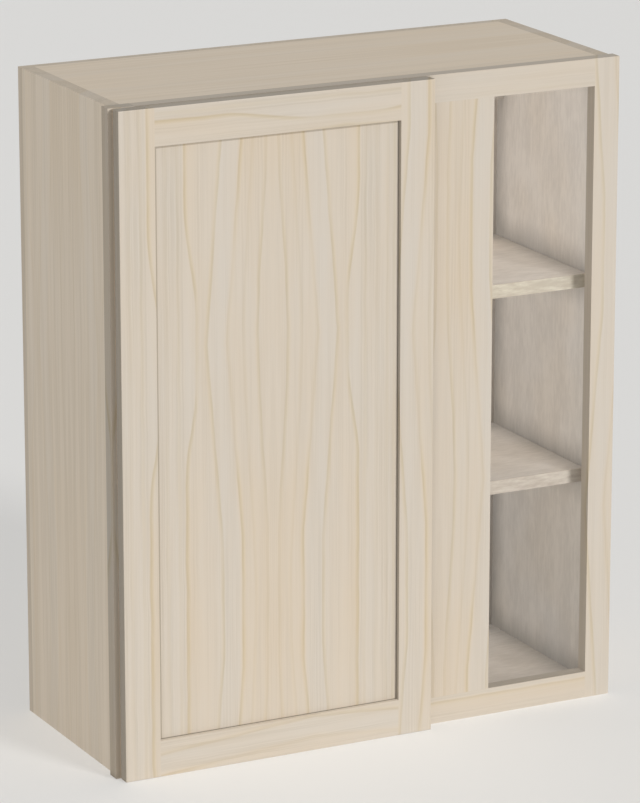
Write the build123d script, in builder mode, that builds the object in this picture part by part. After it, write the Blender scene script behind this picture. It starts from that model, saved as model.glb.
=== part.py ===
"""Corner wall cabinet: a face-frame case with one hinged door and one open bay.

Millimetres, +Z up, the front faces -Y. The origin is the middle of the overall
footprint, on the underside of the cabinet.
"""
from build123d import *
import os

INCH = 25.4

# ---- driving dimensions: case -------------------------------------------------
cabinet_width = 30 * INCH        # across the face frame
cabinet_height = 36 * INCH
case_depth = 11.25 * INCH        # behind the face frame
frame_overhang = 6.35            # face frame past each side panel
side_thickness = 19.05
top_thickness = 19.05
bottom_thickness = 19.05
back_thickness = 12.7
hanging_rail_height = 88.9
hanging_rail_thickness = 19.05

# ---- driving dimensions: face frame ---------------------------------------------
frame_thickness = 19.05
outer_stile_width = 38.1
center_stile_width = 133.35
frame_rail_width = 38.1
open_bay_width = 155.575         # clear width of the bay without a door

# ---- driving dimensions: door -----------------------------------------------------
door_thickness = 19.05
door_gap = 2.0                   # between the closed door and the face frame
door_end_reveal = 0.8            # frame showing above and below the door
door_overlap_center = 31.75      # door over the centre stile
door_stile_width = 50.8
door_rail_width = 50.8
door_edge_ease = 0.8             # small chamfer on the door's front edges
hinge_edge_round = 3.0           # back edge that swings past the face frame
panel_thickness = 6.35
panel_recess = 6.35              # panel below the front of the door frame
panel_side_float = 1.5           # room for the panel to move in its grooves
panel_face_fit = 0.1
groove_depth = 9.5
tenon_end_room = 0.5
quirk_width = 1.2                # shadow line round the panel
quirk_depth = 1.5

# ---- driving dimensions: shelves ---------------------------------------------------
lower_shelf_center_z = 12.5 * INCH
upper_shelf_center_z = 23.5 * INCH
shelf_thickness = 19.05
shelf_setback = 12.7             # shelf behind the back of the face frame
shelf_side_clearance = 1.5
shelf_back_clearance = 1.5
shelf_seat_clearance = 0.1       # between a shelf and its pins
edge_band_thickness = 1.0
pin_radius = 2.5
pin_insertion = 9.0
pin_hole_extra = 1.0             # hole deeper than the pin
pin_collar_radius = 4.5
pin_collar_thickness = 1.2
pin_pad_length = 11.0
pin_pad_width = 8.0
pin_pad_thickness = 2.5
pin_edge_distance = 50.0         # pin from the front or back edge of its shelf

# ---- driving dimensions: fixings --------------------------------------------------
fixing_clearance = 0.05          # radial, around dowels, pins and screws
dowel_radius = 4.0
frame_dowel_length = 30.0
case_dowel_length = 35.0
case_dowel_in_side = 11.0        # part of a case dowel that is in the side panel
frame_case_dowel_length = 30.0
frame_case_dowel_in_frame = 9.0
dowel_end_room = 1.0             # hole deeper than the dowel at each end
rail_dowel_spacing = 18.0
center_dowel_spacing = 80.0
case_dowel_inset = 40.0          # outermost case dowels from the case's front and back
case_dowels_per_end = 3          # in each end of the top and bottom panels
frame_case_dowel_inset = 100.0
frame_case_dowels_per_panel = 3  # along the front edge of each case panel
back_screw_radius = 2.0
back_screw_head_radius = 4.0
back_screw_length = 28.0
back_screw_inset = 80.0          # outermost back screws from the case's corners
back_screws_per_side = 5
back_screws_per_panel = 4        # along the top and along the bottom panel
back_screws_per_rail = 3         # along the hanging rail
countersink_angle = 90
flat_head_recess_share = 0.65    # cross recess across a flat head, as a share of the head
pan_head_recess_share = 0.5
pan_head_round_share = 0.5       # rounding of a pan head, as a share of its height
screw_recess_width = 0.9
screw_recess_depth = 1.2

# ---- driving dimensions: concealed hinges ------------------------------------------
hinge_end_distance = 88.9        # hinge centre from the door's end
cup_radius = 17.5
cup_depth = 13.0
cup_wall = 1.0
cup_edge_distance = 3.2          # cup from the door's edge
cup_past_frame = 5.8             # cup's far wall past the inner edge of the outer stile
cup_bore_extra = 0.2             # bore deeper than the cup
cup_notch_depth = 3.5            # notch that lets the arm swing out
cup_notch_side_room = 1.0
flange_thickness = 1.2
flange_width = 16.0
flange_length = 62.0
flange_corner = 5.0
cup_screw_spacing = 48.0
cup_screw_offset = 8.0           # cup screws from the cup's centre, away from the edge
cup_screw_radius = 1.75
cup_screw_head_radius = 3.6
cup_screw_length = 15.0
knuckle_radius = 2.5
knuckle_wall_gap = 1.0           # knuckle to the cup's wall
knuckle_floor_gap = 0.5          # knuckle to the cup's floor
hinge_pin_radius = 1.25
hinge_pin_running_clearance = 0.05
hinge_pin_seat_clearance = 0.02
hinge_pin_length = 17.0
arm_width = 9.0
arm_thickness = 2.2
arm_bend_radius = 3.4            # outside of the bend
arm_side_clearance = 0.3         # each side of the arm, to the pin lugs
lug_width = 5.0
plate_length = 44.0
plate_width = 15.0
plate_edge_distance = 2.0        # frame plate behind the front of the face frame
plate_screw_spacing = 30.0
plate_screw_radius = 2.0
plate_screw_head_radius = 3.5
plate_screw_head_height = 2.0
plate_screw_length = 18.0
spring_thickness = 0.5
spring_length = 16.0
spring_rise = 0.8
spring_turned_length = 3.0
spring_width = 6.0
spring_side_room = 1.5
bumper_radius = 5.0
bumper_inset = 16.0
bumper_end_distance = 25.0
bumper_clearance = 0.1

# ---- places worked out from the sizes above -------------------------------------------
overall_depth = door_thickness + door_gap + frame_thickness + case_depth
front_y = -overall_depth / 2
door_back_y = front_y + door_thickness
frame_front_y = door_back_y + door_gap
frame_mid_y = frame_front_y + frame_thickness / 2
frame_back_y = frame_front_y + frame_thickness
case_back_y = frame_back_y + case_depth
back_front_y = case_back_y - back_thickness

frame_left_x = -cabinet_width / 2
frame_right_x = cabinet_width / 2
door_bay_left_x = frame_left_x + outer_stile_width
open_bay_right_x = frame_right_x - outer_stile_width
center_right_x = open_bay_right_x - open_bay_width
center_left_x = center_right_x - center_stile_width
rail_bottom_z = frame_rail_width
rail_top_z = cabinet_height - frame_rail_width

case_left_x = frame_left_x + frame_overhang
case_right_x = frame_right_x - frame_overhang
inner_left_x = case_left_x + side_thickness
inner_right_x = case_right_x - side_thickness
inner_top_z = cabinet_height - top_thickness

door_left_x = door_bay_left_x - (cup_edge_distance + 2 * cup_radius - cup_past_frame)
door_right_x = center_left_x + door_overlap_center
door_bottom_z = door_end_reveal
door_top_z = cabinet_height - door_end_reveal
panel_left_x = door_left_x + door_stile_width
panel_right_x = door_right_x - door_stile_width
panel_bottom_z = door_bottom_z + door_rail_width
panel_top_z = door_top_z - door_rail_width
panel_front_y = front_y + panel_recess
groove_front_y = panel_front_y - panel_face_fit
groove_back_y = panel_front_y + panel_thickness + panel_face_fit

shelf_front_y = frame_back_y + shelf_setback
shelf_back_y = back_front_y - shelf_back_clearance
pin_ys = (shelf_front_y + pin_edge_distance, shelf_back_y - pin_edge_distance)

cup_x = door_left_x + cup_edge_distance + cup_radius
cup_inner_radius = cup_radius - cup_wall
pivot_x = door_left_x + cup_edge_distance + cup_wall + knuckle_radius + knuckle_wall_gap
pivot_y = door_back_y - (cup_depth - cup_wall - knuckle_radius - knuckle_floor_gap)
cup_floor_y = door_back_y - cup_depth + cup_wall
hinge_zs = {
    "lower": door_bottom_z + hinge_end_distance,
    "upper": door_top_z - hinge_end_distance,
}
shelf_center_zs = {"lower": lower_shelf_center_z, "upper": upper_shelf_center_z}


# ---- helpers ----------------------------------------------------------------------
def slab(x, y, z, mode=Mode.ADD):
    """A box between two x, two y and two z places, in the open BuildPart."""
    middle = [(low + high) / 2 for low, high in (x, y, z)]
    size = [high - low for low, high in (x, y, z)]
    with Locations(tuple(middle)):
        Box(*size, mode=mode)


def rod(start, direction, radius, length, mode=Mode.ADD):
    """A cylinder from start along direction, in the open BuildPart."""
    with Locations(Plane(origin=start, z_dir=direction)):
        Cylinder(radius, length, align=(Align.CENTER, Align.CENTER, Align.MIN), mode=mode)


def spread(start, end, count):
    """Evenly spaced places from start to end, both included."""
    return [start + (end - start) * i / (count - 1) for i in range(count)]


def around(middle, half):
    """The two places half to each side of middle."""
    return (middle - half, middle + half)


def save(part, name):
    """Write one finished piece, under the name that its node carries."""
    part.label = name
    export_step(part, f"parts/{name}.step")


# ---- places of the fixings: where each starts and which way it runs ---------------------
def frame_dowel_places():
    """Two dowels in each joint of the face frame."""
    half = frame_dowel_length / 2
    places = []
    for rail_z in (frame_rail_width / 2, cabinet_height - frame_rail_width / 2):
        for joint_x in (door_bay_left_x, open_bay_right_x):
            for z in around(rail_z, rail_dowel_spacing / 2):
                places.append(((joint_x - half, frame_mid_y, z), (1, 0, 0)))
    for joint_z in (rail_bottom_z, rail_top_z):
        for x in around((center_left_x + center_right_x) / 2, center_dowel_spacing / 2):
            places.append(((x, frame_mid_y, joint_z - half), (0, 0, 1)))
    return places


def case_dowel_places():
    """Dowels from the side panels into the ends of the top and bottom panels."""
    ys = spread(frame_back_y + case_dowel_inset, back_front_y - case_dowel_inset, case_dowels_per_end)
    zs = (bottom_thickness / 2, cabinet_height - top_thickness / 2)
    left_start = inner_left_x - case_dowel_in_side
    right_start = inner_right_x + case_dowel_in_side - case_dowel_length
    return [((x, y, z), (1, 0, 0)) for x in (left_start, right_start) for y in ys for z in zs]


def frame_case_dowel_places():
    """Dowels from the back of the face frame into the case's front edges."""
    start_y = frame_back_y - frame_case_dowel_in_frame
    side_xs = (case_left_x + side_thickness / 2, case_right_x - side_thickness / 2)
    panel_zs = (bottom_thickness / 2, cabinet_height - top_thickness / 2)
    inset = frame_case_dowel_inset
    up_sides = spread(inset, cabinet_height - inset, frame_case_dowels_per_panel)
    along_panels = spread(inner_left_x + inset, inner_right_x - inset, frame_case_dowels_per_panel)
    points = [(x, z) for x in side_xs for z in up_sides]
    points += [(x, z) for x in along_panels for z in panel_zs]
    return [((x, start_y, z), (0, 1, 0)) for x, z in points]


def back_screw_points():
    """Screw heads on the back: along each panel's rear edge and the hanging rail."""
    inset = back_screw_inset
    side_xs = (case_left_x + side_thickness / 2, case_right_x - side_thickness / 2)
    panel_zs = (bottom_thickness / 2, cabinet_height - top_thickness / 2)
    rail_z = inner_top_z - hanging_rail_height / 2
    up_sides = spread(inset, cabinet_height - inset, back_screws_per_side)
    along_panels = spread(case_left_x + inset, case_right_x - inset, back_screws_per_panel)
    along_rail = spread(inner_left_x + inset, inner_right_x - inset, back_screws_per_rail)
    points = [(x, z) for x in side_xs for z in up_sides]
    points += [(x, z) for x in along_panels for z in panel_zs]
    points += [(x, rail_z) for x in along_rail]
    return points


def drill_dowels(places, length):
    """Cut the holes for a set of dowels from the open BuildPart."""
    for start, direction in places:
        back = [s - dowel_end_room * d for s, d in zip(start, direction)]
        rod(tuple(back), direction, dowel_radius + fixing_clearance,
            length + 2 * dowel_end_room, Mode.SUBTRACT)


def drill_frame():
    """The face frame's own dowel holes and the ones that join it to the case."""
    drill_dowels(frame_dowel_places(), frame_dowel_length)
    drill_dowels(frame_case_dowel_places(), frame_case_dowel_length)


def drill_case():
    """Dowel holes of the case panels, and the holes of the screws through the back."""
    drill_dowels(case_dowel_places(), case_dowel_length)
    drill_dowels(frame_case_dowel_places(), frame_case_dowel_length)
    drill_back_screws()


def drill_back_screws():
    """Countersunk holes for the screws through the back."""
    for x, z in back_screw_points():
        with Locations(Plane(origin=(x, case_back_y, z), z_dir=(0, 1, 0))):
            CounterSinkHole(
                back_screw_radius + fixing_clearance,
                back_screw_head_radius + fixing_clearance,
                depth=back_screw_length + dowel_end_room,
                counter_sink_angle=countersink_angle,
            )


# ---- fasteners --------------------------------------------------------------------
def countersunk_screw(radius, head_radius, length):
    """A screw that hangs down from the origin, its flat head level with Z = 0."""
    with BuildPart() as screw:
        with BuildSketch(Plane.XZ):
            with BuildLine():
                Polyline(
                    (0, 0),
                    (head_radius, 0),
                    (radius, radius - head_radius),
                    (radius, radius - length),
                    (0, -length),
                    close=True,
                )
            make_face()
        revolve(axis=Axis.Z)
        cut_cross(2 * head_radius * flat_head_recess_share, 0)
    return screw.part


def cut_cross(reach, head_top_z):
    """A cross recess, reach from tip to tip, in the top of a screw head."""
    for turn in (0, 90):
        with Locations(Location((0, 0, head_top_z), (0, 0, turn))):
            Box(reach, screw_recess_width, 2 * screw_recess_depth, mode=Mode.SUBTRACT)


def pan_head_screw(radius, head_radius, head_height, length):
    """A screw that hangs down from the origin, with its head above Z = 0."""
    with BuildPart() as screw:
        rod((0, 0, 0), (0, 0, -1), radius, length)
        rod((0, 0, 0), (0, 0, 1), head_radius, head_height)
        fillet(screw.edges().sort_by(Axis.Z)[-1], head_height * pan_head_round_share)
        cut_cross(2 * head_radius * pan_head_recess_share, head_height)
    return screw.part


def screw_set(screw, places, direction):
    """Copies of a screw with their heads facing along direction."""
    with BuildPart() as screws:
        with Locations(*[Plane(origin=place, z_dir=direction) for place in places]):
            add(screw)
    return screws.part


def dowel_set(places, length):
    """The dowels of one kind, as separate solids."""
    with BuildPart() as dowels:
        for start, direction in places:
            rod(start, direction, dowel_radius, length)
    return dowels.part


# ---- case -------------------------------------------------------------------------
def side_panel(outer_x, inner_x):
    """A full-height side panel, drilled for its dowels, screws and shelf pins."""
    with BuildPart() as side:
        slab(sorted((outer_x, inner_x)), (frame_back_y, back_front_y), (0, cabinet_height))
        drill_case()
        into_side = (1 if outer_x > inner_x else -1, 0, 0)
        for center_z in shelf_center_zs.values():
            for y in pin_ys:
                rod((inner_x, y, pin_axis_z(center_z)), into_side, pin_radius + fixing_clearance,
                    pin_insertion + pin_hole_extra, Mode.SUBTRACT)
    return side.part


def level_panel(z):
    """The top or bottom panel, between the sides and in front of the back."""
    with BuildPart() as panel:
        slab((inner_left_x, inner_right_x), (frame_back_y, back_front_y), z)
        drill_case()
    return panel.part


def back_panel():
    """The back, which covers the rear edges of all four case panels."""
    with BuildPart() as back:
        slab((case_left_x, case_right_x), (back_front_y, case_back_y), (0, cabinet_height))
        drill_back_screws()
    return back.part


def hanging_rail():
    """The rail inside the case that wall screws pass through."""
    with BuildPart() as rail:
        slab(
            (inner_left_x, inner_right_x),
            (back_front_y - hanging_rail_thickness, back_front_y),
            (inner_top_z - hanging_rail_height, inner_top_z),
        )
        drill_back_screws()
    return rail.part


# ---- face frame -------------------------------------------------------------------
def frame_member(x, z):
    """A stile or rail of the face frame, with its dowel holes."""
    with BuildPart() as member:
        slab(x, (frame_front_y, frame_back_y), z)
        drill_frame()
    return member.part


def hinge_stile():
    """The left stile, which also takes the screws of the hinge arms."""
    with BuildPart() as stile:
        slab((frame_left_x, door_bay_left_x), (frame_front_y, frame_back_y), (0, cabinet_height))
        drill_frame()
        for hinge_z in hinge_zs.values():
            for place in arm_screw_places(hinge_z):
                rod(place, (-1, 0, 0), plate_screw_radius + fixing_clearance,
                    plate_screw_length + dowel_end_room, Mode.SUBTRACT)
    return stile.part


# ---- shelves ----------------------------------------------------------------------
def shelf_z(center_z):
    """Underside and top of a shelf."""
    return around(center_z, shelf_thickness / 2)


def pad_top_z(center_z):
    """Top of the pads that a shelf rests on."""
    return shelf_z(center_z)[0] - shelf_seat_clearance


def pin_axis_z(center_z):
    """Axis of a shelf's pins, with their collars just below the shelf."""
    return pad_top_z(center_z) - pin_collar_radius


def shelf_board(center_z):
    """A shelf without its front band."""
    with BuildPart() as shelf:
        slab(
            (inner_left_x + shelf_side_clearance, inner_right_x - shelf_side_clearance),
            (shelf_front_y + edge_band_thickness, shelf_back_y),
            shelf_z(center_z),
        )
    return shelf.part


def shelf_band(center_z):
    """The band glued to a shelf's front edge."""
    with BuildPart() as band:
        slab(
            (inner_left_x + shelf_side_clearance, inner_right_x - shelf_side_clearance),
            (shelf_front_y, shelf_front_y + edge_band_thickness),
            shelf_z(center_z),
        )
    return band.part


def shelf_pins(center_z):
    """The four supports of a shelf: a peg, a collar and a flat pad each."""
    axis_z = pin_axis_z(center_z)
    top_z = pad_top_z(center_z)
    with BuildPart() as pins:
        for wall_x, into_case in ((inner_left_x, 1), (inner_right_x, -1)):
            for y in pin_ys:
                rod((wall_x, y, axis_z), (-into_case, 0, 0), pin_radius, pin_insertion)
                rod((wall_x, y, axis_z), (into_case, 0, 0), pin_collar_radius, pin_collar_thickness)
                slab(
                    sorted((wall_x, wall_x + into_case * pin_pad_length)),
                    around(y, pin_pad_width / 2),
                    (top_z - pin_pad_thickness, top_z),
                )
    return pins.part


# ---- door -------------------------------------------------------------------------
def door_stile_left():
    """The hinge-side stile: panel groove, rounded back edge, and bores for two cups."""
    with BuildPart() as stile:
        slab((door_left_x, panel_left_x), (front_y, door_back_y), (door_bottom_z, door_top_z))
        back_edges = stile.edges().filter_by(Axis.Z).group_by(Axis.Y)[-1]
        fillet(back_edges.sort_by(Axis.X)[0], hinge_edge_round)
        front_edges = stile.faces().sort_by(Axis.Y)[0].edges()
        chamfer(front_edges.sort_by(Axis.X)[:-1], door_edge_ease)
        slab(
            (panel_left_x - groove_depth, panel_left_x),
            (groove_front_y, groove_back_y),
            (door_bottom_z, door_top_z),
            Mode.SUBTRACT,
        )
        for hinge_z in hinge_zs.values():
            rod((cup_x, door_back_y, hinge_z), (0, -1, 0), cup_radius + fixing_clearance,
                cup_depth + cup_bore_extra, Mode.SUBTRACT)
            with Locations(*[Plane(origin=p, z_dir=(0, 1, 0)) for p in cup_screw_places(hinge_z)]):
                CounterSinkHole(
                    cup_screw_radius + fixing_clearance,
                    cup_screw_head_radius + fixing_clearance,
                    depth=cup_screw_length + fixing_clearance,
                    counter_sink_angle=countersink_angle,
                )
    return stile.part


def door_stile_right():
    """The free-side stile with its panel groove."""
    with BuildPart() as stile:
        slab((panel_right_x, door_right_x), (front_y, door_back_y), (door_bottom_z, door_top_z))
        front_edges = stile.faces().sort_by(Axis.Y)[0].edges()
        chamfer(front_edges.sort_by(Axis.X)[1:], door_edge_ease)
        slab(
            (panel_right_x, panel_right_x + groove_depth),
            (groove_front_y, groove_back_y),
            (door_bottom_z, door_top_z),
            Mode.SUBTRACT,
        )
    return stile.part


def door_rail(outer_z, inner_z):
    """A rail with a stub tenon at each end and a groove along its inner edge."""
    outwards = 1 if outer_z > inner_z else -1
    tenon_reach = groove_depth - tenon_end_room
    tenon_x = (panel_left_x - tenon_reach, panel_right_x + tenon_reach)
    with BuildPart() as rail:
        slab((panel_left_x, panel_right_x), (front_y, door_back_y), sorted((outer_z, inner_z)))
        front_edges = rail.faces().sort_by(Axis.Y)[0].edges().filter_by(Axis.X)
        chamfer(front_edges.sort_by(Axis.Z)[-1 if outwards > 0 else 0], door_edge_ease)
        slab(tenon_x, (groove_front_y, groove_back_y), sorted((outer_z, inner_z)))
        slab(
            tenon_x,
            (groove_front_y, groove_back_y),
            sorted((inner_z, inner_z + outwards * groove_depth)),
            Mode.SUBTRACT,
        )
    return rail.part


def door_panel():
    """The flat panel, with a narrow shadow line cut just inside the door's frame."""
    reach = groove_depth - panel_side_float
    middle = ((panel_left_x + panel_right_x) / 2, panel_front_y, (panel_bottom_z + panel_top_z) / 2)
    width = panel_right_x - panel_left_x
    height = panel_top_z - panel_bottom_z
    with BuildPart() as panel:
        slab(
            (panel_left_x - reach, panel_right_x + reach),
            (panel_front_y, panel_front_y + panel_thickness),
            (panel_bottom_z - reach, panel_top_z + reach),
        )
        with BuildSketch(Plane(origin=middle, x_dir=(1, 0, 0), z_dir=(0, 1, 0))):
            Rectangle(width, height)
            Rectangle(width - 2 * quirk_width, height - 2 * quirk_width, mode=Mode.SUBTRACT)
        extrude(amount=quirk_depth, mode=Mode.SUBTRACT)
    return panel.part


def door_bumpers():
    """Two soft discs on the back of the door, which meet the face frame's rails."""
    with BuildPart() as bumpers:
        for z in (door_bottom_z + bumper_end_distance, door_top_z - bumper_end_distance):
            rod((door_right_x - bumper_inset, door_back_y, z), (0, 1, 0), bumper_radius,
                door_gap - bumper_clearance)
    return bumpers.part


# ---- concealed hinges ---------------------------------------------------------------
def arm_screw_places(hinge_z):
    """Heads of the two screws that hold a hinge arm to the inner edge of the left stile."""
    plate_mid_y = frame_front_y + plate_edge_distance + plate_width / 2
    zs = around(hinge_z, plate_screw_spacing / 2)
    return [(door_bay_left_x + arm_thickness, plate_mid_y, z) for z in zs]


def cup_screw_places(hinge_z):
    """Heads of the two screws that hold a hinge cup, level with its flange."""
    zs = around(hinge_z, cup_screw_spacing / 2)
    return [(cup_x + cup_screw_offset, door_back_y + flange_thickness, z) for z in zs]


def hinge_cup(hinge_z):
    """Stamped cup with its flange, and two lugs that hold the pivot pin."""
    rim = Plane(origin=(cup_x, door_back_y, hinge_z), x_dir=(1, 0, 0), z_dir=(0, -1, 0))
    lug_inner = arm_width / 2 + arm_side_clearance
    with BuildPart() as cup:
        for side in (-1, 1):
            slab(
                (cup_x - cup_radius, pivot_x + lug_width / 2),
                (cup_floor_y, pivot_y + knuckle_radius),
                sorted((hinge_z + side * lug_inner, hinge_z + side * cup_radius)),
            )
        rod((cup_x, door_back_y, hinge_z), (0, -1, 0), cup_radius - cup_wall / 2, cup_depth,
            Mode.INTERSECT)
        with BuildSketch(rim):
            Circle(cup_radius)
            Circle(cup_inner_radius, mode=Mode.SUBTRACT)
        extrude(amount=cup_depth)
        rod((cup_x, door_back_y - cup_depth, hinge_z), (0, 1, 0), cup_radius, cup_wall)
        with BuildSketch(rim):
            with Locations((flange_width / 2, 0)):
                RectangleRounded(flange_width, flange_length, flange_corner)
            Circle(cup_inner_radius, mode=Mode.SUBTRACT)
        extrude(amount=-flange_thickness)
        slab(
            (cup_x - cup_radius, cup_x),
            (door_back_y - cup_notch_depth, door_back_y),
            around(hinge_z, arm_width / 2 + cup_notch_side_room),
            Mode.SUBTRACT,
        )
        rod((pivot_x, pivot_y, hinge_z - hinge_pin_length / 2), (0, 0, 1),
            hinge_pin_radius + hinge_pin_seat_clearance, hinge_pin_length, Mode.SUBTRACT)
        with Locations(*[Plane(origin=p, z_dir=(0, 1, 0)) for p in cup_screw_places(hinge_z)]):
            CounterSinkHole(
                cup_screw_radius + fixing_clearance,
                cup_screw_head_radius + fixing_clearance,
                depth=cup_screw_length,
                counter_sink_angle=countersink_angle,
            )
    return cup.part


def hinge_pin(hinge_z):
    """The vertical pin that the door turns on."""
    with BuildPart() as pin:
        rod((pivot_x, pivot_y, hinge_z - hinge_pin_length / 2), (0, 0, 1), hinge_pin_radius,
            hinge_pin_length)
    return pin.part


def hinge_arm(hinge_z):
    """Cranked arm: a knuckle in the cup, a web, a leg, and a plate on the stile's edge."""
    leg_x = (door_bay_left_x, door_bay_left_x + arm_thickness)
    web_y = around(pivot_y, arm_thickness / 2)
    plate_y = (frame_front_y + plate_edge_distance, frame_front_y + plate_edge_distance + plate_width)
    arm_z = around(hinge_z, arm_width / 2)
    with BuildPart() as arm:
        slab((pivot_x, leg_x[1]), web_y, arm_z)
        slab(leg_x, (web_y[0], plate_y[1]), arm_z)
        upright = arm.edges().filter_by(Axis.Z)
        fillet(upright.sort_by_distance((leg_x[1], web_y[0], hinge_z))[0], arm_bend_radius)
        fillet(arm.edges().filter_by(Axis.Z).sort_by_distance((leg_x[0], web_y[1], hinge_z))[0],
               arm_bend_radius - arm_thickness)
        rod((pivot_x, pivot_y, arm_z[0]), (0, 0, 1), knuckle_radius, arm_width)
        slab(leg_x, plate_y, around(hinge_z, plate_length / 2))
        rod((pivot_x, pivot_y, arm_z[0]), (0, 0, 1),
            hinge_pin_radius + hinge_pin_running_clearance, arm_width, Mode.SUBTRACT)
        for place in arm_screw_places(hinge_z):
            rod(place, (-1, 0, 0), plate_screw_radius + fixing_clearance, arm_thickness,
                Mode.SUBTRACT)
    return arm.part


def hinge_spring(hinge_z):
    """Leaf spring on the cup's floor, with its free end turned up towards the arm."""
    start_x = pivot_x + knuckle_radius + spring_side_room
    bend_x = start_x + spring_length
    end_x = bend_x + spring_turned_length
    top = cup_floor_y + spring_thickness
    with BuildPart() as spring:
        with BuildSketch(Plane.XY.offset(hinge_z - spring_width / 2)):
            with BuildLine():
                Polyline(
                    (start_x, cup_floor_y),
                    (bend_x, cup_floor_y),
                    (end_x, cup_floor_y + spring_rise),
                    (end_x, top + spring_rise),
                    (bend_x, top),
                    (start_x, top),
                    close=True,
                )
            make_face()
        extrude(amount=spring_width)
    return spring.part


# ---- the cabinet --------------------------------------------------------------------
def main():
    """Build and save every piece."""
    os.makedirs("parts", exist_ok=True)
    save(side_panel(case_left_x, inner_left_x), "side_panel_left")
    save(side_panel(case_right_x, inner_right_x), "side_panel_right")
    save(level_panel((inner_top_z, cabinet_height)), "top_panel")
    save(level_panel((0, bottom_thickness)), "bottom_panel")
    save(back_panel(), "back_panel")
    save(hanging_rail(), "hanging_rail")
    save(dowel_set(case_dowel_places(), case_dowel_length), "case_dowels")
    save(dowel_set(frame_case_dowel_places(), frame_case_dowel_length), "frame_to_case_dowels")
    back_screw = countersunk_screw(back_screw_radius, back_screw_head_radius, back_screw_length)
    back_places = [(x, case_back_y, z) for x, z in back_screw_points()]
    save(screw_set(back_screw, back_places, (0, 1, 0)), "back_screws")

    save(hinge_stile(), "frame_stile_left")
    save(frame_member((center_left_x, center_right_x), (rail_bottom_z, rail_top_z)), "frame_stile_center")
    save(frame_member((open_bay_right_x, frame_right_x), (0, cabinet_height)), "frame_stile_right")
    rail_x = (door_bay_left_x, open_bay_right_x)
    save(frame_member(rail_x, (rail_top_z, cabinet_height)), "frame_rail_top")
    save(frame_member(rail_x, (0, rail_bottom_z)), "frame_rail_bottom")
    save(dowel_set(frame_dowel_places(), frame_dowel_length), "frame_dowels")

    for level, center_z in shelf_center_zs.items():
        save(shelf_board(center_z), f"shelf_{level}")
        save(shelf_band(center_z), f"shelf_edge_band_{level}")
        save(shelf_pins(center_z), f"shelf_pins_{level}")

    save(door_stile_left(), "door_stile_left")
    save(door_stile_right(), "door_stile_right")
    save(door_rail(door_top_z, panel_top_z), "door_rail_top")
    save(door_rail(door_bottom_z, panel_bottom_z), "door_rail_bottom")
    save(door_panel(), "door_panel")
    save(door_bumpers(), "door_bumpers")

    cup_screw = countersunk_screw(cup_screw_radius, cup_screw_head_radius, cup_screw_length)
    arm_screw = pan_head_screw(plate_screw_radius, plate_screw_head_radius,
                               plate_screw_head_height, plate_screw_length)
    for level, hinge_z in hinge_zs.items():
        save(hinge_cup(hinge_z), f"hinge_cup_{level}")
        save(hinge_pin(hinge_z), f"hinge_pin_{level}")
        save(hinge_arm(hinge_z), f"hinge_arm_{level}")
        save(hinge_spring(hinge_z), f"hinge_spring_{level}")
        save(screw_set(cup_screw, cup_screw_places(hinge_z), (0, 1, 0)), f"hinge_cup_screws_{level}")
        save(screw_set(arm_screw, arm_screw_places(hinge_z), (1, 0, 0)), f"hinge_arm_screws_{level}")


main()
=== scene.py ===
"""Corner wall cabinet: finishes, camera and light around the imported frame.

Metres, in the frame's own axes: +Z up, the cabinet's front faces -Y.
"""
import math
import bpy
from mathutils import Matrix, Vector


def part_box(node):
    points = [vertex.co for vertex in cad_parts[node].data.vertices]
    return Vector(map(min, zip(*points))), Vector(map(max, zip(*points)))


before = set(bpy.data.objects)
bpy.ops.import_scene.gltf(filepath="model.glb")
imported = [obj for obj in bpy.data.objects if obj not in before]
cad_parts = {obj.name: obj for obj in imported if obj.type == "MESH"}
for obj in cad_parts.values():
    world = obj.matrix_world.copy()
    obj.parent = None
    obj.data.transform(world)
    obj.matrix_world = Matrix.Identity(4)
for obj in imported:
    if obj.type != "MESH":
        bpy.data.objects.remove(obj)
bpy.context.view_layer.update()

# ---- camera ----------------------------------------------------------------------------
CAMERA_TARGET = Vector((-0.0848, -0.1609, 0.4915))
CAMERA_DISTANCE = 5.9825
CAMERA_AZIMUTH = 26.99       # degrees to the left of straight in front
CAMERA_ELEVATION = 15.655
CAMERA_LENS = 201.2          # millimetres
CAMERA_SENSOR = 36.0
CAMERA_REACH = 200.0

# ---- light -----------------------------------------------------------------------------
# Each distant soft light: degrees to the right of straight in front, degrees up, degrees
# that it spans as seen from the cabinet, strength in watts per square metre, and whether
# it casts shadows.
LIGHTS = {
    "key": (21.0, 13.0, 14.0, 1.79, True),
    "side_fill": (-85.0, 15.0, 20.0, 0.99, False),
    "top_fill": (0.0, 82.0, 20.0, 1.14, False),
    "back_fill": (180.0, 12.0, 20.0, 0.42, False),
}
LIGHT_DISTANCE = 6.0
SKY_COLOR = (0.98, 0.99, 1.0)
SKY_STRENGTH = 0.275
FLOOR_SIZE = 60.0
FLOOR_COLOR = (0.80, 0.79, 0.77)
FLOOR_ROUGHNESS = 0.85

# ---- figure of the wood: the lines that every board is cut across -----------------------
FIGURE_WIDTH = 0.190         # from the heart of the figure to where it turns back
FIGURE_LENGTH = 0.361        # from a waist, where the lines crowd together, to the next bow
FIGURE_SLANT = 0.6           # how far the figure drifts outwards for each metre of depth
LINE_SHARP = 0.0018          # width of a line's sharp side
LINE_SOFT = 0.0040           # width of its soft side
LINE_STAIN = 0.0065          # how far the warm stain beside it reaches
WOBBLE = 0.0036
WOBBLE_SCALE = 16.0
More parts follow.
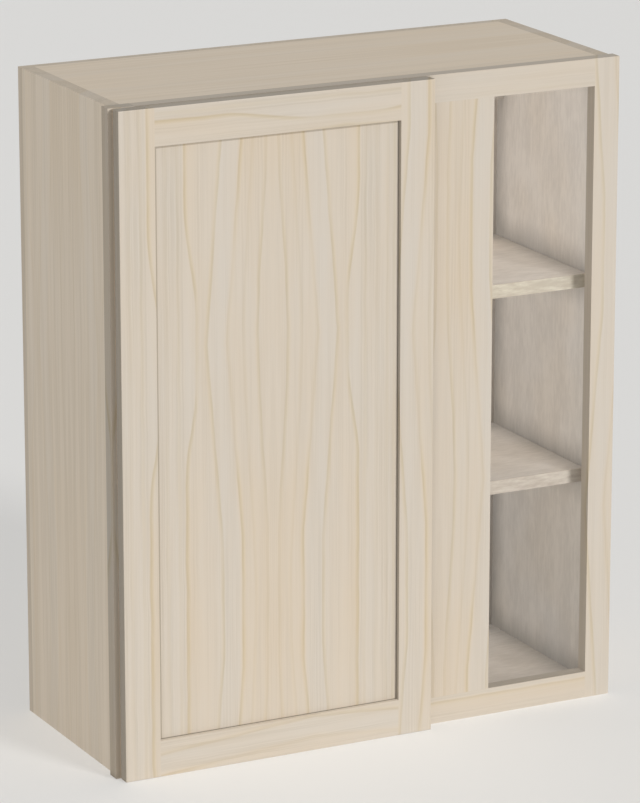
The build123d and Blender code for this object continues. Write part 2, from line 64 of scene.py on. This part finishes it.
# Each line: its distance from the heart at the waist and at the bow; how far from the waist
# it starts and stops drawing away, and in what way; its strength at the waist and at the bow,
# and where it changes; and 1 where its sharp side faces away from the heart or -1 where not.
FIGURE_LINES = (
    (0.0216, 0.0075, 0.000, 0.300, "SMOOTHSTEP", 0.75, 0.45, 0.150, 0.260, -1),
    (0.0436, 0.0270, 0.000, 0.361, "SMOOTHSTEP", 0.28, 0.35, 0.000, 0.361, 1),
    (0.0682, 0.0458, 0.000, 0.270, "LINEAR", 0.35, 1.00, 0.110, 0.200, 1),
    (0.0964, 0.0738, 0.000, 0.285, "LINEAR", 0.90, 0.75, 0.000, 0.361, -1),
    (0.1120, 0.1280, 0.040, 0.190, "SMOOTHSTEP", 0.45, 1.00, 0.050, 0.085, 1),
    (0.1390, 0.1390, 0.000, 0.361, "LINEAR", 0.35, 0.25, 0.000, 0.361, 1),
    (0.1535, 0.1535, 0.000, 0.361, "LINEAR", 0.15, 0.25, 0.000, 0.361, -1),
    (0.1720, 0.1720, 0.000, 0.361, "LINEAR", 0.30, 0.30, 0.000, 0.361, 1),
    (0.1800, 0.1800, 0.000, 0.361, "LINEAR", 0.30, 0.60, 0.000, 0.361, -1),
)
INNER_LINE, OUTER_LINE, EDGE_LINE = 2, 3, 4        # the lines that bound the colour zones

# In what follows a STRETCH is a noise's scale across a board, into it and along it, a DETAIL
# is its octaves and how rough they are, and a SPAN is two values to start and stop at, with
# the results there where they aren't 0 and 1.
NOISE_MEAN = 0.5
FADE_STRETCH = (25.0, 0.0, 9.0)          # the lines come and go
FADE_SPAN = (0.3, 0.6, 0.6, 1.0)
BOW_SPAN = (0.120, 0.300)                # from the waist, where the warm zones set in
PAST_INNER_SPAN = (0.0, 0.006)           # from the three lines
PAST_OUTER_SPAN = (-0.004, 0.002)
PAST_EDGE_SPAN = (0.0, 0.004)
NEAR_EDGE_SPAN = (-0.028, -0.006)
EDGE_GREY = 0.6                          # beside the grey between the inner and outer line
GREY_SHIFT = 0.36                        # how far each moves the zone's value
WARM_SHIFT = -0.35
CLOUD_STRETCH = (45.0, 1.0, 6.0)
CLOUD_SPAN = (0.3, 0.7, 0.3, 0.7)        # no further from the middle than this
STREAK_STRETCH = (420.0, 200.0, 4.0)     # fine streaks along the grain
STREAK_DETAIL = (3.0, 0.6)
STREAK_SPAN = (0.36, 0.64)
STREAK_OUTER_SPAN = (0.115, 0.145, 0.75, 1.10)     # stronger far from the heart
BUNDLE_STRETCH = (85.0, 1.0, 1.3)                  # and in bundles
BUNDLE_SPAN = (0.38, 0.60, 0.25, 1.0)

# ---- colours, as linear reflectance ------------------------------------------------------
MAPLE_BEIGE = (0.634, 0.541, 0.430)
MAPLE_GREY = (0.616, 0.556, 0.481)
LINE_CORE = (0.895, 0.900, 0.915)        # what a full line leaves of the wood's colour
LINE_WARMTH = (1.000, 0.960, 0.832)      # and the stain beside it
STREAK_TINT = (0.905, 0.895, 0.872)
WOOD_ROUGHNESS = (0.70, 0.80)            # between the streaks and on them
WOOD_SPECULAR = 0.12
GRAIN_BUMP = (0.12, 0.0004)              # strength and height
BLACK = (0.0, 0.0, 0.0)

# Inside the case: the veneer's pale and dark flecks, and what the painted shade near the
# cabinet's floor leaves of them. The walls' colours are paler than the shelves', partly as
# painted light that brightens the walls of the bay.
WALL = ((0.862, 0.809, 0.748), (0.768, 0.719, 0.664), (0.710, 0.722, 0.732))
SHELF = ((0.675, 0.615, 0.550), (0.600, 0.543, 0.480), (0.835, 0.840, 0.845))
BAND = ((0.800, 0.778, 0.650), (0.615, 0.572, 0.468), (0.660, 0.580, 0.615))
FLECK_STRETCH = (200.0, 100.0, 42.0)
FLECK_DETAIL = (4.0, 0.62)
FLECK_CLOUD_STRETCH = (34.0, 0.0, 11.0)
FLECK_CLOUD_DETAIL = (3.0, 0.5)
FLECK_SHARE = 0.5                        # of the flecks, and as much of the clouds
FLECK_SPAN = (0.38, 0.62)
FLECK_WARMTH = (1.000, 0.975, 0.940)     # in warmer clouds
WARMER_SCALE = 6.0
WARMER_PLACE = 7.3                       # a slice of the noise that nothing else uses
WARMER_SPAN = (0.35, 0.65)
DIM_SPAN = (0.02, 0.90, 1.0, 0.0)        # the painted shade's, over the height of the case

# ---- painted shade: on edges, round the door's panel and in corners ----------------------
SQUARELY = (0.4, 0.6)                    # where a face counts as looking along an axis
DOOR_EDGE_SHADE = 0.54                         # painted shade: what the door's edges keep of the faces' brightness
DOOR_TOP_EDGE_SHADE = 0.60
DOOR_SILL_EDGE_SHADE = 0.93                    # the bottom rail's, less painted shade as it faces up to the light
FRAME_EDGE_SHADE = 0.63
FRAME_INNER_EDGE_SHADE = 0.72
FRAME_TOP_EDGE_SHADE = 0.72
CASE_EDGE_SHADE = 0.82
PANEL_CORNER_SHADE_TINT = (0.700, 0.685, 0.660)        # painted shade in the corner between the door's panel and frame
PANEL_CORNER_SHADE_REACH = (0.0050, 0.0008, 0.0010, 0.0043)      # over the panel: left, right, bottom, top
PANEL_CORNER_SHADE_SOFTNESS = 0.0006
# Shade that gathers in corners: how far it reaches, and its strength.
STILE_SHADE = (0.009, 0.5)
CENTER_STILE_SHADE = (0.024, 0.45)
TOP_RAIL_SHADE = (0.012, 0.9)
CASE_SHADE = (0.042, 0.75)
FAINT_CASE_SHADE = (0.042, 0.35)         # on the walls that the camera doesn't see
BAND_SHADE = (0.035, 0.25)
CORNER_HIDES = 0.5                       # of the light, right in a square corner
SHADE_SAMPLES = 12
OUTLINE_SOFTNESS = 0.0015

# ---- hardware ----------------------------------------------------------------------------
# Each metal: its colour, its roughness, and how much rougher the brushing is.
NICKEL = ((0.72, 0.70, 0.66), 0.22, 0.12)
SPRING_STEEL = ((0.45, 0.45, 0.46), 0.30, 0.15)
ZINC = ((0.68, 0.67, 0.62), 0.32, 0.16)
BRUSH_STRETCH = (1.0, 1.0, 0.05)         # drawn out upwards
BRUSH_SCALE = 1200.0
BRUSH_SPAN = (0.3, 0.7)
BRUSH_TINT = (0.92, 0.92, 0.92)
# Each plain stuff: its two colours, the noise's scale and detail, and the roughness.
BEECH = ((0.62, 0.44, 0.27), (0.52, 0.34, 0.19), 700.0, 3.0, 0.6)
BUMPER = ((0.80, 0.80, 0.78), (0.74, 0.74, 0.72), 400.0, 2.0, 0.28)


class Graph:
    """Adds nodes to one tree and links them, so that a material reads as a formula."""

    def __init__(self, tree):
        self.tree = tree

    def node(self, kind, **settings):
        node = self.tree.nodes.new("ShaderNode" + kind)
        for name, value in settings.items():
            setattr(node, name, value)
        return node

    def feed(self, socket, value):
        """Give a socket another node's output or a plain value."""
        if isinstance(value, bpy.types.NodeSocket):
            self.tree.links.new(value, socket)
        else:
            socket.default_value = value

    def math(self, operation, *values):
        node = self.node("Math", operation=operation)
        for socket, value in zip(node.inputs, values):
            self.feed(socket, value)
        return node.outputs[0]

    def times(self, first, second):
        return self.math("MULTIPLY", first, second)

    def minus(self, first, second):
        return self.math("SUBTRACT", first, second)

    def greater(self, first, second):
        return self.math("MAXIMUM", first, second)

    def span(self, value, start, end, low=0.0, high=1.0, kind="SMOOTHSTEP"):
        """low where value is at start, high where it is at end, eased in between."""
        node = self.node("MapRange", interpolation_type=kind)
        for name, given in zip(("Value", "From Min", "From Max", "To Min", "To Max"),
                               (value, start, end, low, high)):
            self.feed(node.inputs[name], given)
        return node.outputs["Result"]

    def split(self, vector):
        """A vector's X, Y and Z outputs."""
        node = self.node("SeparateXYZ")
        self.feed(node.inputs[0], vector)
        return node.outputs

    def combine(self, x, y, z):
        node = self.node("CombineXYZ")
        for socket, value in zip(node.inputs, (x, y, z)):
            self.feed(socket, value)
        return node.outputs[0]

    def stretched(self, place, stretch):
        """A place across, into and along the board, each times its own scale."""
        return self.combine(*(self.times(part, scale) for part, scale in zip(place, stretch)))

    def noise(self, vector, scale=1.0, detail=2.0, roughness=0.5):
        node = self.node("TexNoise")
        self.feed(node.inputs["Vector"], vector)
        self.feed(node.inputs["Scale"], scale)
        self.feed(node.inputs["Detail"], detail)
        self.feed(node.inputs["Roughness"], roughness)
        return node.outputs["Fac"]

    def mix(self, factor, first, second, blend="MIX"):
        """Blend two colours."""
        node = self.node("Mix", data_type="RGBA", blend_type=blend)
        for name, value in (("Factor_Float", factor), ("A_Color", first), ("B_Color", second)):
            socket = next(s for s in node.inputs if s.identifier == name)
            self.feed(socket, (*value, 1.0) if isinstance(value, tuple) else value)
        return next(s for s in node.outputs if s.identifier == "Result_Color")

    def tint(self, color, factor, tint):
        """color multiplied by tint, as far as factor says."""
        return self.mix(factor, color, tint, "MULTIPLY")

    def bump(self, height, strength, distance):
        node = self.node("Bump")
        self.feed(node.inputs["Height"], height)
        self.feed(node.inputs["Strength"], strength)
        self.feed(node.inputs["Distance"], distance)
        return node.outputs["Normal"]


def new_material(name):
    """An empty material with one Principled shader: (material, graph, shader's inputs)."""
    material = bpy.data.materials.new(name)
    material.use_nodes = True
    graph = Graph(material.node_tree)
    graph.tree.nodes.clear()
    shader = graph.node("BsdfPrincipled")
    output = graph.node("OutputMaterial")
    graph.feed(output.inputs["Surface"], shader.outputs["BSDF"])
    return material, graph, shader.inputs


def figure_lines(graph, across, from_waist):
    """The figure's lines at a place: (their dark core, the stain beside them, each's place)."""
    core, stain, places = 0.0, 0.0, []
    for waist, bow, start, stop, ease, faint, full, rise, risen, sharp_side in FIGURE_LINES:
        line_place = graph.span(from_waist, start, stop, waist, bow, ease)
        places.append(line_place)
        outward = graph.minus(across, line_place)
        sharp = graph.span(outward, 0.0, sharp_side * LINE_SHARP, 1.0, 0.0)
        soft = graph.span(outward, -sharp_side * LINE_SOFT, 0.0)
        wide = graph.span(outward, -sharp_side * LINE_STAIN, 0.0)
        strength = graph.times(sharp, graph.span(from_waist, rise, risen, faint, full))
        core = graph.greater(core, graph.times(soft, strength))
        stain = graph.greater(stain, graph.times(wide, strength))
    return core, stain, places


def colour_zone(graph, place, from_waist, places):
    """0 in beige wood to 1 in grey wood.

    Grey between the inner and outer line and beyond the edge line; warm near the heart and
    inside the edge line, both towards the bow.
    """
    across = place[0]
    to_bow = graph.span(from_waist, *BOW_SPAN)
    past_inner = graph.span(graph.minus(across, places[INNER_LINE]), *PAST_INNER_SPAN)
    past_outer = graph.span(graph.minus(across, places[OUTER_LINE]), *PAST_OUTER_SPAN)
    past_edge = graph.span(graph.minus(across, places[EDGE_LINE]), *PAST_EDGE_SPAN)
    near_edge = graph.span(graph.minus(across, places[EDGE_LINE]), *NEAR_EDGE_SPAN)
    grey = graph.minus(past_inner, past_outer)
    grey = graph.math("MULTIPLY_ADD", past_edge, EDGE_GREY, grey)
    warm = graph.minus(1.0, past_inner)
    warm = graph.math("ADD", warm, graph.minus(near_edge, past_edge))
    warm = graph.times(warm, to_bow)
    cloud = graph.noise(graph.stretched(place, CLOUD_STRETCH))
    cloud = graph.span(cloud, *CLOUD_SPAN, "LINEAR")
    zone = graph.math("MULTIPLY_ADD", grey, GREY_SHIFT, cloud)
    return graph.math("MULTIPLY_ADD", warm, WARM_SHIFT, zone)


def fine_streaks(graph, place):
    """How strong the fine streaks along the grain are, in bundles and more in the outer wood."""
    streaks = graph.noise(graph.stretched(place, STREAK_STRETCH), 1.0, *STREAK_DETAIL)
    streaks = graph.span(streaks, *STREAK_SPAN, kind="LINEAR")
    bundles = graph.span(graph.noise(graph.stretched(place, BUNDLE_STRETCH)), *BUNDLE_SPAN)
    outer = graph.span(place[0], *STREAK_OUTER_SPAN)
    return graph.times(graph.times(streaks, bundles), outer)


def figure_group():
    """Node group: from a place on the board to its figure lines, colour zones and streaks."""
    tree = bpy.data.node_groups.new("maple_figure", "ShaderNodeTree")
    for name in ("Across", "Along", "Depth"):
        tree.interface.new_socket(name, in_out="INPUT", socket_type="NodeSocketFloat")
    for name in ("Core", "Stain", "Zone", "Streaks"):
        tree.interface.new_socket(name, in_out="OUTPUT", socket_type="NodeSocketFloat")
    graph = Graph(tree)
    given = tree.nodes.new("NodeGroupInput").outputs
    result = tree.nodes.new("NodeGroupOutput").inputs

    unbent = graph.combine(given["Across"], given["Depth"], given["Along"])
    wobble = graph.minus(graph.noise(unbent, WOBBLE_SCALE), NOISE_MEAN)
    across = graph.math("PINGPONG", given["Across"], FIGURE_WIDTH)
    across = graph.math("MULTIPLY_ADD", wobble, WOBBLE, across)
    across = graph.math("MULTIPLY_ADD", given["Depth"], FIGURE_SLANT, across)
    place = across, given["Depth"], given["Along"]
    from_waist = graph.math("PINGPONG", given["Along"], FIGURE_LENGTH)

    core, stain, places = figure_lines(graph, across, from_waist)
    fade = graph.span(graph.noise(graph.stretched(place, FADE_STRETCH)), *FADE_SPAN)
    graph.feed(result["Core"], graph.times(core, fade))
    graph.feed(result["Stain"], graph.times(stain, fade))
    graph.feed(result["Zone"], colour_zone(graph, place, from_waist, places))
    graph.feed(result["Streaks"], fine_streaks(graph, place))
    return tree


FIGURE = figure_group()


def inside_finish_and_shade(graph, place, height, finish_and_shade):
    """The paler veneer inside the case: short flecks along the grain over soft clouds."""
    pale, dark, floor_dim = finish_and_shade
    across, _, along = place
    flecks = graph.noise(graph.stretched(place, FLECK_STRETCH), 1.0, *FLECK_DETAIL)
    clouds = graph.noise(graph.stretched(place, FLECK_CLOUD_STRETCH), 1.0, *FLECK_CLOUD_DETAIL)
    shade = graph.math("MULTIPLY_ADD", flecks, FLECK_SHARE, graph.times(clouds, FLECK_SHARE))
    color = graph.mix(graph.span(shade, *FLECK_SPAN), dark, pale)
    warmer = graph.noise(graph.combine(along, across, WARMER_PLACE), WARMER_SCALE)
    color = graph.tint(color, graph.span(warmer, *WARMER_SPAN), FLECK_WARMTH)
    # Painted shade: the colour is darkened towards the cabinet's floor.
    return graph.tint(color, graph.span(height, *DIM_SPAN, "LINEAR"), floor_dim)


def past_sides(graph, position, box):
    """How far a place is inside each side of a box in X and Z: left, right, bottom, top."""
    left, right, bottom, top = box
    x, z = position["X"], position["Z"]
    return (graph.minus(x, left), graph.minus(right, x),
            graph.minus(z, bottom), graph.minus(top, z))


def panel_corner_shade(graph, position, opening):
    """1 in the corner where the panel meets the frame round this opening, 0 away from it."""
    # Painted shade in the corner round the door's panel, as far as each side's reach.
    dark = 0.0
    for inset, reach in zip(past_sides(graph, position, opening), PANEL_CORNER_SHADE_REACH):
        dark = graph.greater(dark, graph.span(inset, reach - PANEL_CORNER_SHADE_SOFTNESS, reach, 1.0, 0.0))
    return dark


def beyond(graph, position, outline):
    """0 behind the door, which opens and takes its shade with it, 1 beyond its outline."""
    least = None
    for inset in past_sides(graph, position, outline):
        least = inset if least is None else graph.math("MINIMUM", least, inset)
    return graph.span(least, OUTLINE_SOFTNESS, 0.0)


def corner_shade(graph, reach):
    """How much of the light over a place its neighbours within reach hide."""
    node = graph.node("AmbientOcclusion", samples=SHADE_SAMPLES)
    node.inputs["Distance"].default_value = reach
    return graph.math("MINIMUM", graph.minus(1.0, node.outputs["AO"]), CORNER_HIDES)


def dress(node_name, material):
    """Give a CAD node's object one material in all its slots."""
    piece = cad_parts[node_name]
    if not piece.material_slots:
        piece.data.materials.append(material)
    for material_slot in piece.material_slots:
        material_slot.material = material


def board(node_name, across_axis, along_axis, heart, waist, *, edge, lines=1.0, streaks=1.0,
          zone=(0.0, 1.0), inside=None, opening=None, shade=None, behind=None):
    """Dress one board in figured maple, cut so that the heart and a waist lie where given.

    edge: the painted shade on its edges, what they keep of its faces' brightness. lines,
    streaks: how strong those of the figure are. zone: the part of the range from beige to grey
    that it shows. inside: which of its faces, 1 or -1 along its thickness, looks into the case,
    and how that face is finished, darker towards the cabinet's floor by painted shade. opening:
    what the door's frame leaves open of it, with painted shade in the corner round it. shade:
    the reach and strength of the shade painted in its corners, on the inside face alone if it
    has one. behind: the door's outline, behind which nothing is shaded.
    """
    material, graph, shader = new_material("wood_" + node_name)
    where = graph.node("TexCoord").outputs
    position, facing = graph.split(where["Object"]), graph.split(where["Normal"])
    depth_axis = ({"X", "Y", "Z"} - {across_axis, along_axis}).pop()
    low_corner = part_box(node_name)[0]
    place = (graph.minus(position[across_axis], heart),
             graph.minus(position[depth_axis], low_corner["XYZ".index(depth_axis)]),
             graph.minus(position[along_axis], waist))
    group = graph.node("Group", node_tree=FIGURE)
    for name, part in zip(("Across", "Depth", "Along"), place):
        graph.feed(group.inputs[name], part)
    figure = group.outputs

    color = graph.mix(graph.span(figure["Zone"], 0.0, 1.0, *zone, "LINEAR"),
                      MAPLE_BEIGE, MAPLE_GREY)
    color = graph.tint(color, graph.times(figure["Stain"], lines), LINE_WARMTH)
    core = graph.times(figure["Core"], lines)
    color = graph.tint(color, core, LINE_CORE)
    color = graph.mix(graph.times(figure["Streaks"], streaks),
                      color, graph.tint(color, 1.0, STREAK_TINT))

    looks_inside = 1.0
    if inside:
        side, finish_and_shade = inside
        looks_inside = graph.span(graph.times(facing[depth_axis], side), *SQUARELY)
        color = graph.mix(looks_inside, color,
                          inside_finish_and_shade(graph, place, position["Z"], finish_and_shade))
    if opening:
        color = graph.tint(color, panel_corner_shade(graph, position, opening), PANEL_CORNER_SHADE_TINT)
    # Painted shade on the edges: faces that don't look along the board's thickness keep only edge
    # of their brightness.
    broad = graph.math("ABSOLUTE", facing[depth_axis])
    color = graph.tint(color, graph.span(broad, *SQUARELY, 1.0, 0.0, "LINEAR"), (edge,) * 3)
    if shade:
        reach, strength = shade
        hidden = graph.times(corner_shade(graph, reach), looks_inside)
        if behind:
            hidden = graph.times(hidden, beyond(graph, position, behind))
        color = graph.tint(color, graph.times(hidden, strength), BLACK)

    graph.feed(shader["Base Color"], color)
    graph.feed(shader["Roughness"], graph.span(figure["Streaks"], 0.0, 1.0, *WOOD_ROUGHNESS))
    graph.feed(shader["Normal"], graph.bump(graph.minus(figure["Streaks"], core), *GRAIN_BUMP))
    shader["Specular IOR Level"].default_value = WOOD_SPECULAR
    dress(node_name, material)


def dress_door_and_frame():
    """The boards in front, placed in the figure from the edges of the door and the frame."""
    stile_low, stile_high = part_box("door_stile_left")
    other_low, other_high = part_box("door_stile_right")
    left, right, bottom, top = stile_low.x, other_high.x, stile_low.z, stile_high.z
    opening = (stile_high.x, other_low.x,
               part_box("door_rail_bottom")[1].z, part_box("door_rail_top")[0].z)
    board("door_panel", "X", "Z", left + 0.2228, bottom + 0.587, edge=DOOR_EDGE_SHADE,
          opening=opening)
    board("door_stile_left", "X", "Z", left + 0.1673, bottom + 0.558, edge=DOOR_EDGE_SHADE)
    board("door_stile_right", "X", "Z", left + 0.4970, bottom + 0.568, edge=DOOR_EDGE_SHADE)
    board("door_rail_top", "Z", "X", top - 0.1456, left + 0.330, edge=DOOR_TOP_EDGE_SHADE)
    board("door_rail_bottom", "Z", "X", bottom - 0.0478, left + 0.282, edge=DOOR_SILL_EDGE_SHADE,
          lines=0.7, streaks=1.6)

    behind = (left, right, bottom, top)
    frame_left, frame_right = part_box("frame_stile_left")[0].x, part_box("frame_stile_right")[1].x
    board("frame_stile_left", "X", "Z", frame_left - 0.110, 0.410, edge=FRAME_EDGE_SHADE,
          shade=STILE_SHADE, behind=behind)
    board("frame_stile_center", "X", "Z", right + 0.0232, 0.346, edge=FRAME_EDGE_SHADE,
          shade=CENTER_STILE_SHADE, behind=behind)
    board("frame_stile_right", "X", "Z", frame_right + 0.0546, 0.278, edge=FRAME_INNER_EDGE_SHADE)
    board("frame_rail_top", "Z", "X", top - 0.170, 0.205, edge=FRAME_TOP_EDGE_SHADE,
          lines=0.35, streaks=0.6, shade=TOP_RAIL_SHADE, behind=behind)
    board("frame_rail_bottom", "Z", "X", -0.098, -0.096, edge=FRAME_EDGE_SHADE,
          lines=0.8, zone=(0.1, 1.0))


def dress_case():
    """The case and its shelves, plainer wood with the veneer on the faces inside."""
    plain = {"edge": CASE_EDGE_SHADE, "lines": 0.30, "streaks": 2.4, "zone": (0.15, 0.65),
             "shade": CASE_SHADE}
    faint = {**plain, "shade": FAINT_CASE_SHADE}
    board("side_panel_left", "Y", "Z", 0.010, 0.560, inside=(1, WALL), **faint)
    board("side_panel_right", "Y", "Z", 0.010, 0.480, inside=(-1, WALL), **plain)
    board("back_panel", "X", "Z", 0.015, 0.430, inside=(-1, WALL), **faint)
    board("hanging_rail", "Z", "X", 0.700, 0.020, inside=(-1, WALL), **faint)
    board("bottom_panel", "Y", "X", 0.015, 0.060, inside=(1, SHELF), **plain)

    plainer = {**plain, "lines": 0.15, "streaks": 1.0, "zone": (0.0, 0.35)}
    band = {**plainer, "shade": BAND_SHADE}
    board("top_panel", "Y", "X", 0.020, -0.100, inside=(-1, SHELF), **plainer)
    for level, waist in (("lower", 0.10), ("upper", -0.16)):
        board(f"shelf_{level}", "Y", "X", 0.030, waist, inside=(1, SHELF), **plain)
        board(f"shelf_edge_band_{level}", "Z", "X", 0.200, waist, inside=(-1, BAND), **band)


def metal(name, color, roughness, brushing):
    """Plated or plain steel with fine brushing."""
    material, graph, shader = new_material(name)
    drawn_out = graph.node("Mapping")
    drawn_out.inputs["Scale"].default_value = BRUSH_STRETCH
    graph.feed(drawn_out.inputs["Vector"], graph.node("TexCoord").outputs["Object"])
    scratches = graph.noise(drawn_out.outputs["Vector"], BRUSH_SCALE)
    graph.feed(shader["Base Color"], graph.tint(color, scratches, BRUSH_TINT))
    graph.feed(shader["Roughness"],
               graph.span(scratches, *BRUSH_SPAN, roughness, roughness + brushing))
    shader["Metallic"].default_value = 1.0
    return material


def mottled(name, first, second, scale, detail, roughness):
    """A plain stuff that varies softly between two colours."""
    material, graph, shader = new_material(name)
    flecks = graph.noise(graph.node("TexCoord").outputs["Object"], scale, detail)
    graph.feed(shader["Base Color"], graph.mix(flecks, first, second))
    shader["Roughness"].default_value = roughness
    return material


def dress_hardware():
    """Hinges, pins, screws, dowels and bumpers."""
    nickel = metal("nickel_plate", *NICKEL)
    spring = metal("spring_steel", *SPRING_STEEL)
    zinc = metal("zinc_plate", *ZINC)
    for level in ("lower", "upper"):
        for part in ("hinge_cup", "hinge_pin", "hinge_arm", "shelf_pins"):
            dress(f"{part}_{level}", nickel)
        dress(f"hinge_spring_{level}", spring)
        for part in ("hinge_cup_screws", "hinge_arm_screws"):
            dress(f"{part}_{level}", zinc)
    dress("back_screws", zinc)

    beech = mottled("beech_dowel", *BEECH)
    for name in ("case_dowels", "frame_to_case_dowels", "frame_dowels"):
        dress(name, beech)
    dress("door_bumpers", mottled("soft_bumper", *BUMPER))


def away(azimuth, elevation, distance):
    """A vector that long, azimuth degrees to the right of straight in front, and that high."""
    turn, rise = math.radians(azimuth), math.radians(elevation)
    flat = distance * math.cos(rise)
    return Vector((flat * math.sin(turn), -flat * math.cos(turn), distance * math.sin(rise)))


def place_on_stage(name, data, offset):
    """Add a camera or light at that offset from the camera's target, looking at the target."""
    piece = bpy.data.objects.new(name, data)
    bpy.context.scene.collection.objects.link(piece)
    piece.location = CAMERA_TARGET + offset
    look = CAMERA_TARGET - piece.location
    piece.rotation_euler = look.to_track_quat("-Z", "Y").to_euler()
    return piece


def add_floor():
    half = FLOOR_SIZE / 2
    mesh = bpy.data.meshes.new("floor")
    corners = [(-half, -half, 0), (half, -half, 0), (half, half, 0), (-half, half, 0)]
    mesh.from_pydata(corners, [], [(0, 1, 2, 3)])
    floor = bpy.data.objects.new("floor", mesh)
    bpy.context.scene.collection.objects.link(floor)
    material, _, shader = new_material("studio_floor")
    shader["Base Color"].default_value = (*FLOOR_COLOR, 1.0)
    shader["Roughness"].default_value = FLOOR_ROUGHNESS
    mesh.materials.append(material)


def add_lights():
    for name, (azimuth, elevation, spread, strength, shadows) in LIGHTS.items():
        data = bpy.data.lights.new(name, "SUN")
        data.energy = strength
        data.angle = math.radians(spread)
        data.use_shadow = shadows
        place_on_stage(name, data, away(azimuth, elevation, LIGHT_DISTANCE))

    world = bpy.data.worlds.new("studio")
    world.use_nodes = True
    background = world.node_tree.nodes["Background"]
    background.inputs["Color"].default_value = (*SKY_COLOR, 1.0)
    background.inputs["Strength"].default_value = SKY_STRENGTH
    bpy.context.scene.world = world
    bpy.context.scene.view_settings.view_transform = "Standard"


def add_camera():
    data = bpy.data.cameras.new("camera")
    data.lens = CAMERA_LENS
    data.sensor_width = CAMERA_SENSOR
    data.clip_end = CAMERA_REACH
    offset = away(-CAMERA_AZIMUTH, CAMERA_ELEVATION, CAMERA_DISTANCE)
    bpy.context.scene.camera = place_on_stage("camera", data, offset)


dress_door_and_frame()
dress_case()
dress_hardware()
add_floor()
add_lights()
add_camera()
